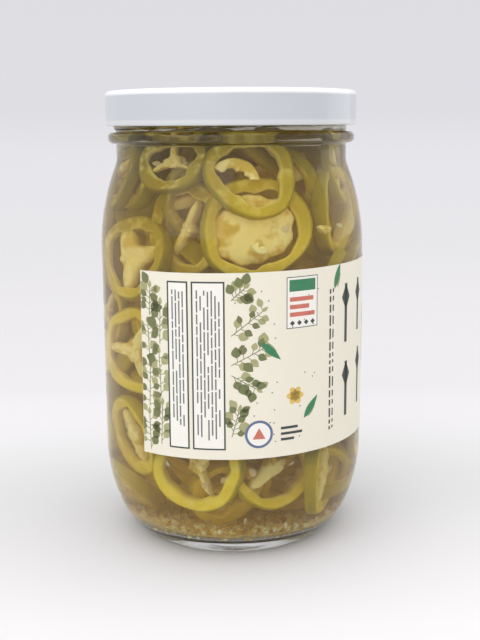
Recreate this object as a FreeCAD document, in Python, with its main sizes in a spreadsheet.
import FreeCAD, Part
import math
import os
import Sketcher

# A wide-mouth glass jar of pickled pepper rings, closed with a one-piece screw lid.
#
# Five pieces, each one solid: the glass jar, the brine that fills it to its level, the wrap label on the
# straight wall, the painted tinplate lid, and the sealing ring that the lid presses on the glass lip.
#
# Millimetres and degrees. +Z is up, the origin is the middle of the ring that the jar stands on, and the
# front of the jar faces -Y. Every piece is turned about the Z axis, so each outline is drawn in the X-Z
# plane: its X is a radius and its Y is a height.

SIZES = {
    # The glass body, from the foot up.
    "body_diameter": 97.0,
    "jar_height": 162.3,
    "wall": 2.4,
    "base_thickness": 6.0,
    "kick_height": 3.0,
    "bearing_width": 3.0,
    "foot_round": 3.0,
    "foot_angle": 52.0,
    "heel_round": 27.0,
    "heel_angle": 21.5,
    "side_sweep": 60.0,
    "shoulder_sweep": 80.0,
    "neck_round": 8.0,
    "neck_inset": 6.4,
    "neck_height": 22.3,
    # The finish, which takes the lid.
    "finish_wall": 3.4,
    "lip_round": 1.2,
    "bead_drop": 17.3,
    "bead_height": 4.0,
    "bead_depth": 2.9,
    "bead_round": 1.7,
    # The brine.
    "fill_drop": 10.3,
    "brine_gap": 0.1,
    # The label.
    "label_length": 240.0,
    "label_thickness": 0.2,
    "label_start": -40.0,
    "label_low_margin": 5.2,
    "label_top_margin": 3.6,
    "glue_gap": 0.05,
    # The lid and its seal.
    "thread_room": 3.15,
    "lid_gauge": 0.4,
    "lid_height": 12.3,
    "lid_edge_round": 1.6,
    "curl_diameter": 1.6,
    "panel_drop": 0.9,
    "panel_slope": 1.2,
    "panel_round": 0.6,
    "panel_gap": 0.5,
    "seal_thickness": 0.8,
    "seal_overlap": 0.8,
    "seal_reach": 1.6,
}

# Places worked out from those sizes, written as expressions for the sketches.
BODY_RADIUS = "Sizes.body_diameter / 2"
HEEL_HEIGHT = (
    "(Sizes.foot_round * (1 - sin(Sizes.foot_angle))"
    " + Sizes.heel_round * (sin(Sizes.foot_angle) - sin(Sizes.heel_angle))"
    " + Sizes.side_sweep * sin(Sizes.heel_angle))"
)
BEARING_RADIUS = (
    f"({BODY_RADIUS} - Sizes.side_sweep * (1 - cos(Sizes.heel_angle))"
    " - Sizes.heel_round * (cos(Sizes.heel_angle) - cos(Sizes.foot_angle))"
    " - Sizes.foot_round * cos(Sizes.foot_angle))"
)
KICK_RADIUS = f"({BEARING_RADIUS} - Sizes.bearing_width)"
NECK_RADIUS = f"({BODY_RADIUS} - Sizes.neck_inset)"
BORE_RADIUS = f"({NECK_RADIUS} - Sizes.finish_wall)"
SHOULDER_REACH = "(Sizes.shoulder_sweep + Sizes.neck_round)"
SHOULDER_TURN = f"acos(1 - Sizes.neck_inset / {SHOULDER_REACH})"
SHOULDER_BASE = f"(Sizes.jar_height - Sizes.neck_height - {SHOULDER_REACH} * sin({SHOULDER_TURN}))"
BRINE_LEVEL = "(Sizes.jar_height - Sizes.fill_drop)"
BEAD_BASE = "(Sizes.jar_height - Sizes.bead_drop)"
BEAD_TOP = f"({BEAD_BASE} + Sizes.bead_height)"
BEAD_RADIUS = f"({NECK_RADIUS} + Sizes.bead_depth)"
LABEL_RADIUS = f"({BODY_RADIUS} + Sizes.glue_gap)"
LABEL_BASE = f"({HEEL_HEIGHT} + Sizes.label_low_margin)"
LABEL_TOP = f"({SHOULDER_BASE} - Sizes.label_top_margin)"
LID_RADIUS = f"({NECK_RADIUS} + Sizes.thread_room + Sizes.lid_gauge)"
SEAL_TOP = "(Sizes.jar_height + Sizes.seal_thickness)"
LID_TOP = f"({SEAL_TOP} + Sizes.lid_gauge)"
LID_BASE = f"({LID_TOP} - Sizes.lid_height)"
SEAL_BORE_RADIUS = f"({BORE_RADIUS} - Sizes.seal_overlap)"
SEAL_RADIUS = f"({NECK_RADIUS} + Sizes.seal_reach)"
PANEL_RIM_RADIUS = f"({SEAL_BORE_RADIUS} - Sizes.panel_gap)"
PANEL_RADIUS = f"({PANEL_RIM_RADIUS} - Sizes.panel_slope)"

EDGE_MATCH = 0.001  # how near an edge lies to the radius and height that it is looked up by


def make_sheet(doc):
    """The spreadsheet of driving dimensions, each cell named by an alias."""
    sheet = doc.addObject("Spreadsheet::Sheet", "Sizes")
    for row, (name, size) in enumerate(SIZES.items(), start=1):
        sheet.set(f"A{row}", name)
        sheet.set(f"B{row}", str(size))
        sheet.setAlias(f"B{row}", name)
    doc.recompute()
    return sheet


def make_body(doc, label):
    body = doc.addObject("PartDesign::Body", label)
    body.Label = label
    return body


def number(holder, expression):
    """The value of an expression in millimetres or degrees."""
    result = holder.evalExpression(expression)
    return float(getattr(result, "Value", result))


class Outline:
    """A closed outline in a body's X-Z plane, drawn piece by piece from where the pen is.

    Lines and arcs start at exact places, and the constraints then tie them to the sheet.
    """

    def __init__(self, body, name):
        self.sketch = body.newObject("Sketcher::SketchObject", name)
        plane = next(item for item in body.Origin.OriginFeatures if item.Role == "XZ_Plane")
        self.sketch.AttachmentSupport = [(plane, "")]
        self.sketch.MapMode = "FlatFace"
        self.heading = 0.0
        self.first = None
        self.last = None

    def bind(self, kind, targets, expression):
        """Add a dimension whose value follows the expression."""
        size = number(self.sketch, expression)
        if kind == "Angle":
            size = math.radians(size)
        index = self.sketch.addConstraint(Sketcher.Constraint(kind, *targets, size))
        self.sketch.setExpression(f"Constraints[{index}]", expression)

    def rule(self, kind, *targets):
        self.sketch.addConstraint(Sketcher.Constraint(kind, *targets))

    def start(self, radius, height):
        self.x = number(self.sketch, radius)
        self.y = number(self.sketch, height)

    def add(self, shape, entry, leave, smooth):
        """Add a piece and join it to the one before, smoothly or at a corner."""
        geometry = self.sketch.addGeometry(shape, False)
        if self.last is None:
            self.first = (geometry, entry)
        else:
            self.rule("Tangent" if smooth else "Coincident", *self.last, geometry, entry)
        self.last = (geometry, leave)
        return geometry

    def line_to(self, radius, height, smooth=False):
        """A straight line to a place given by expressions."""
        start = FreeCAD.Vector(self.x, self.y, 0)
        self.start(radius, height)
        end = FreeCAD.Vector(self.x, self.y, 0)
        self.heading = math.degrees(math.atan2(end.y - start.y, end.x - start.x))
        return self.add(Part.LineSegment(start, end), 1, 2, smooth)

    def arc(self, radius, turn, bound=True):
        """An arc that leaves the last piece smoothly; a positive turn bends to the left."""
        size = number(self.sketch, radius)
        angle = number(self.sketch, turn)
        side = 90.0 if angle > 0 else -90.0
        towards_centre = math.radians(self.heading + side)
        centre = FreeCAD.Vector(
            self.x + size * math.cos(towards_centre), self.y + size * math.sin(towards_centre), 0
        )
        begin = math.radians(self.heading - side)
        finish = begin + math.radians(angle)
        self.x = centre.x + size * math.cos(finish)
        self.y = centre.y + size * math.sin(finish)
        self.heading += angle
        circle = Part.Circle(centre, FreeCAD.Vector(0, 0, 1), size)
        if angle > 0:
            geometry = self.add(Part.ArcOfCircle(circle, begin, finish), 1, 2, True)
        else:
            geometry = self.add(Part.ArcOfCircle(circle, finish, begin), 2, 1, True)
        if bound:
            self.bind("Radius", (geometry,), radius)
        return geometry

    def dome(self, rim_radius, rim_height, rise):
        """A shallow arc from the axis, where it is highest, down to its rim."""
        edge = number(self.sketch, rim_radius)
        low = number(self.sketch, rim_height)
        height = number(self.sketch, rise)
        size = (edge * edge + height * height) / (2 * height)
        centre = FreeCAD.Vector(0, low + height - size, 0)
        rim = math.atan2(low - centre.y, edge)
        circle = Part.Circle(centre, FreeCAD.Vector(0, 0, 1), size)
        geometry = self.add(Part.ArcOfCircle(circle, rim, math.pi / 2), 2, 1, False)
        self.rule("PointOnObject", geometry, 3, -2)
        return geometry

    def close(self):
        self.rule("Coincident", *self.last, *self.first)

    def place(self, geometry, point, radius=None, height=None):
        """Dimension one point of a piece from the axis, from the ground, or from both."""
        if radius is not None:
            self.bind("DistanceX", (-1, 1, geometry, point), radius)
        if height is not None:
            self.bind("DistanceY", (-1, 1, geometry, point), height)


def draw_polygon(body, name, corners):
    """An outline of straight lines through corners, each a radius and a height."""
    outline = Outline(body, name)
    outline.start(*corners[-1])
    for radius, height in corners:
        geometry = outline.line_to(radius, height)
        on_axis = radius == "0"
        if on_axis:
            outline.rule("PointOnObject", geometry, 2, -2)
        outline.place(geometry, 2, None if on_axis else radius, height)
    outline.close()
    return outline.sketch


def revolve(body, sketch, name, kind="PartDesign::Revolution"):
    """Turn a sketch right round the Z axis, as a new solid, an added ring or a cut groove."""
    feature = body.newObject(kind, name)
    feature.Profile = sketch
    feature.ReferenceAxis = (sketch, ["V_Axis"])
    feature.Angle = 360.0
    sketch.Visibility = False
    body.Document.recompute()
    return feature


def ring_edges(holder, feature, radius, height):
    """The names of a feature's circular edges at a radius and a height given by expressions."""
    size = number(holder, radius)
    level = number(holder, height)
    names = []
    for index, edge in enumerate(feature.Shape.Edges, start=1):
        if edge.Degenerated or not isinstance(edge.Curve, Part.Circle):
            continue
        curve = edge.Curve
        same_size = abs(curve.Radius - size) < EDGE_MATCH
        if same_size and abs(curve.Center.z - level) < EDGE_MATCH:
            names.append(f"Edge{index}")
    if not names:
        raise ValueError(f"{feature.Label} has no ring of radius {size} at height {level}")
    return names


def round_rings(body, holder, base, name, rings, radius):
    """Round the circular edges of a feature, each given by its radius and height."""
    names = []
    for ring in rings:
        names += ring_edges(holder, base, *ring)
    feature = body.newObject("PartDesign::Fillet", name)
    feature.Base = (base, names)
    feature.Radius = number(holder, radius)
    feature.setExpression("Radius", radius)
    body.Document.recompute()
    return feature


def draw_glass_outline(body):
    """The jar's outside: domed base, bearing ring, heel, straight wall, shoulder and neck."""
    outline = Outline(body, "GlassOutline")
    outline.start(KICK_RADIUS, "0")
    bearing = outline.line_to(BEARING_RADIUS, "0")
    outline.arc("Sizes.foot_round", "90 - Sizes.foot_angle")
    heel = outline.arc("Sizes.heel_round", "Sizes.foot_angle - Sizes.heel_angle")
    side = outline.arc("Sizes.side_sweep", "Sizes.heel_angle")
    wall = outline.line_to(BODY_RADIUS, SHOULDER_BASE, smooth=True)
    outline.arc("Sizes.shoulder_sweep", SHOULDER_TURN)
    outline.arc("Sizes.neck_round", f"-{SHOULDER_TURN}")
    neck = outline.line_to(NECK_RADIUS, "Sizes.jar_height", smooth=True)
    lip = outline.line_to("0", "Sizes.jar_height")
    axis = outline.line_to("0", "Sizes.kick_height")
    outline.dome(KICK_RADIUS, "0", "Sizes.kick_height")
    outline.close()

    outline.rule("PointOnObject", bearing, 1, -1)
    outline.rule("PointOnObject", bearing, 2, -1)
    outline.bind("Distance", (bearing,), "Sizes.bearing_width")
    outline.bind("Angle", (heel,), "Sizes.foot_angle - Sizes.heel_angle")
    outline.bind("Angle", (side,), "Sizes.heel_angle")
    outline.rule("Vertical", wall)
    outline.place(wall, 2, BODY_RADIUS, SHOULDER_BASE)
    outline.rule("Vertical", neck)
    outline.place(neck, 2, NECK_RADIUS, "Sizes.jar_height")
    outline.rule("Horizontal", lip)
    outline.rule("PointOnObject", lip, 2, -2)
    outline.rule("PointOnObject", axis, 2, -2)
    outline.place(axis, 2, height="Sizes.kick_height")
    return outline.sketch


def draw_cavity_outline(body, gap):
    """The jar's inside, drawn in by a gap: domed floor, heel, wall, shoulder and bore."""
    floor = f"(Sizes.base_thickness + {gap})"
    inner_radius = f"({BODY_RADIUS} - Sizes.wall - {gap})"
    inner_bore = f"({BORE_RADIUS} - {gap})"
    inner_sweep = f"(Sizes.side_sweep - Sizes.wall - {gap})"
    floor_round = (
        f"(({HEEL_HEIGHT} - {inner_sweep} * sin(Sizes.heel_angle) - {floor})"
        " / (1 - sin(Sizes.heel_angle)))"
    )
    floor_radius = (
        f"({inner_radius} - {inner_sweep} * (1 - cos(Sizes.heel_angle))"
        f" - {floor_round} * cos(Sizes.heel_angle))"
    )
    dome_radius = f"({KICK_RADIUS} - {floor})"
    turn = f"acos(1 - ({inner_radius} - {inner_bore}) / {SHOULDER_REACH})"

    outline = Outline(body, "CavityOutline")
    outline.start(dome_radius, floor)
    ledge = outline.line_to(floor_radius, floor)
    outline.arc(floor_round, "90 - Sizes.heel_angle", bound=False)
    side = outline.arc(inner_sweep, "Sizes.heel_angle")
    wall = outline.line_to(inner_radius, SHOULDER_BASE, smooth=True)
    outline.arc(f"Sizes.shoulder_sweep - Sizes.wall - {gap}", turn)
    outline.arc(f"Sizes.neck_round + Sizes.wall + {gap}", f"-{turn}")
    bore = outline.line_to(inner_bore, "Sizes.jar_height", smooth=True)
    mouth = outline.line_to("0", "Sizes.jar_height")
    axis = outline.line_to("0", f"{floor} + Sizes.kick_height")
    outline.dome(dome_radius, floor, "Sizes.kick_height")
    outline.close()

    outline.rule("Horizontal", ledge)
    outline.place(ledge, 1, dome_radius, floor)
    outline.place(side, 2, height=HEEL_HEIGHT)
    outline.bind("Angle", (side,), "Sizes.heel_angle")
    outline.rule("Vertical", wall)
    outline.place(wall, 2, inner_radius, SHOULDER_BASE)
    outline.rule("Vertical", bore)
    outline.place(bore, 2, inner_bore, "Sizes.jar_height")
    outline.rule("Horizontal", mouth)
    outline.rule("PointOnObject", mouth, 2, -2)
    outline.rule("PointOnObject", axis, 2, -2)
    outline.place(axis, 2, height=f"{floor} + Sizes.kick_height")
    return outline.sketch


def make_jar(doc):
    """The glass: a turned body, a transfer bead under the thread, a cavity and a rounded lip."""
    body = make_body(doc, "jar")
    glass = draw_glass_outline(body)
    revolve(body, glass, "Glass")
    root = f"({NECK_RADIUS} - Sizes.finish_wall / 2)"
    bead_corners = [(root, BEAD_BASE), (BEAD_RADIUS, BEAD_BASE), (BEAD_RADIUS, BEAD_TOP), (root, BEAD_TOP)]
    bead = revolve(body, draw_polygon(body, "BeadOutline", bead_corners), "Bead")
    bead_rings = [(BEAD_RADIUS, BEAD_BASE), (BEAD_RADIUS, BEAD_TOP)]
    round_rings(body, glass, bead, "BeadRound", bead_rings, "Sizes.bead_round")
    cavity = revolve(body, draw_cavity_outline(body, "0"), "Cavity", "PartDesign::Groove")
    lip_rings = [(NECK_RADIUS, "Sizes.jar_height"), (BORE_RADIUS, "Sizes.jar_height")]
    round_rings(body, glass, cavity, "LipRound", lip_rings, "Sizes.lip_round")
    return body


def make_brine(doc):
    """What fills the jar, up to its level in the neck."""
    body = make_body(doc, "brine")
    revolve(body, draw_cavity_outline(body, "Sizes.brine_gap"), "Fill")
    above = [
        ("0", BRINE_LEVEL),
        (BODY_RADIUS, BRINE_LEVEL),
        (BODY_RADIUS, LID_TOP),
        ("0", LID_TOP),
    ]
    revolve(body, draw_polygon(body, "AirOutline", above), "Air", "PartDesign::Groove")
    return body


def make_label(doc):
    """The paper wrap, glued to the straight wall with a window left between its ends."""
    body = make_body(doc, "label")
    outside = f"({LABEL_RADIUS} + Sizes.label_thickness)"
    corners = [
        (LABEL_RADIUS, LABEL_BASE),
        (outside, LABEL_BASE),
        (outside, LABEL_TOP),
        (LABEL_RADIUS, LABEL_TOP),
    ]
    sketch = draw_polygon(body, "LabelOutline", corners)
    wrap = revolve(body, sketch, "Wrap")
    wrap.setExpression("Angle", f"Sizes.label_length / {outside} * 180 / pi")
    # The first end starts on +X, and this turns it to its own side of the front, which is -Y.
    turn = number(sketch, "Sizes.label_start") - 90.0
    body.Placement = FreeCAD.Placement(FreeCAD.Vector(), FreeCAD.Rotation(FreeCAD.Vector(0, 0, 1), turn))
    doc.recompute()
    return body


def make_lid(doc):
    """The lid: one pressed sheet with a sunk panel, a plain skirt and a rolled edge."""
    body = make_body(doc, "lid")
    inside = f"({LID_RADIUS} - Sizes.lid_gauge)"
    panel_top = f"({LID_TOP} - Sizes.panel_drop)"
    panel_under = f"({panel_top} - Sizes.lid_gauge)"
    curl_radius = "(Sizes.curl_diameter / 2)"
    curl_height = f"({LID_BASE} + {curl_radius})"
    corners = [
        ("0", panel_top),
        ("0", panel_under),
        (PANEL_RADIUS, panel_under),
        (PANEL_RIM_RADIUS, SEAL_TOP),
        (inside, SEAL_TOP),
        (inside, curl_height),
        (LID_RADIUS, curl_height),
        (LID_RADIUS, LID_TOP),
        (PANEL_RIM_RADIUS, LID_TOP),
        (PANEL_RADIUS, panel_top),
    ]
    section = draw_polygon(body, "SheetOutline", corners)
    sheet = revolve(body, section, "Sheet")

    curl = Outline(body, "CurlOutline")
    centre_radius = f"({LID_RADIUS} - {curl_radius})"
    middle = FreeCAD.Vector(number(section, centre_radius), number(section, curl_height), 0)
    size = number(section, curl_radius)
    ring = curl.sketch.addGeometry(Part.Circle(middle, FreeCAD.Vector(0, 0, 1), size), False)
    curl.bind("Radius", (ring,), curl_radius)
    curl.place(ring, 3, centre_radius, curl_height)
    rolled = revolve(body, curl.sketch, "Curl")

    outer = round_rings(body, section, rolled, "EdgeRound", [(LID_RADIUS, LID_TOP)], "Sizes.lid_edge_round")
    inner_round = "Sizes.lid_edge_round - Sizes.lid_gauge"
    inner = round_rings(body, section, outer, "InnerRound", [(inside, SEAL_TOP)], inner_round)
    panel_rings = [
        (PANEL_RIM_RADIUS, LID_TOP),
        (PANEL_RADIUS, panel_top),
        (PANEL_RIM_RADIUS, SEAL_TOP),
        (PANEL_RADIUS, panel_under),
    ]
    round_rings(body, section, inner, "PanelRound", panel_rings, "Sizes.panel_round")
    return body


def make_seal(doc):
    """The flowed-in sealing ring between the lid and the glass lip."""
    body = make_body(doc, "seal")
    corners = [
        (SEAL_BORE_RADIUS, "Sizes.jar_height"),
        (SEAL_RADIUS, "Sizes.jar_height"),
        (SEAL_RADIUS, SEAL_TOP),
        (SEAL_BORE_RADIUS, SEAL_TOP),
    ]
    revolve(body, draw_polygon(body, "SealOutline", corners), "Ring")
    return body


def check_document(doc, bodies):
    """Stop before anything is written if an object failed or a piece is not one valid solid."""
    for item in doc.Objects:
        if {"Invalid", "Error"} & set(item.State):
            raise RuntimeError(f"{item.Label} failed: {item.State}")
        if item.TypeId == "Sketcher::SketchObject" and not item.FullyConstrained:
            raise RuntimeError(f"{item.Label} is not fully dimensioned")
    for body in bodies:
        if body.Shape.isNull() or not body.Shape.isValid() or len(body.Shape.Solids) != 1:
            raise RuntimeError(f"{body.Label} is not one valid solid")


def main():
    doc = FreeCAD.newDocument("PickleJar")
    make_sheet(doc)
    bodies = [make_jar(doc), make_brine(doc), make_label(doc), make_lid(doc), make_seal(doc)]
    doc.recompute()
    check_document(doc, bodies)
    os.makedirs("parts", exist_ok=True)
    for body in bodies:
        body.Shape.exportStep(f"parts/{body.Label}.step")
        box = body.Shape.BoundBox
        corners = [round(value, 2) for value in (box.XMin, box.YMin, box.ZMin, box.XMax, box.YMax, box.ZMax)]
        print(body.Label, "volume", round(body.Shape.Volume), "box", corners)


main()
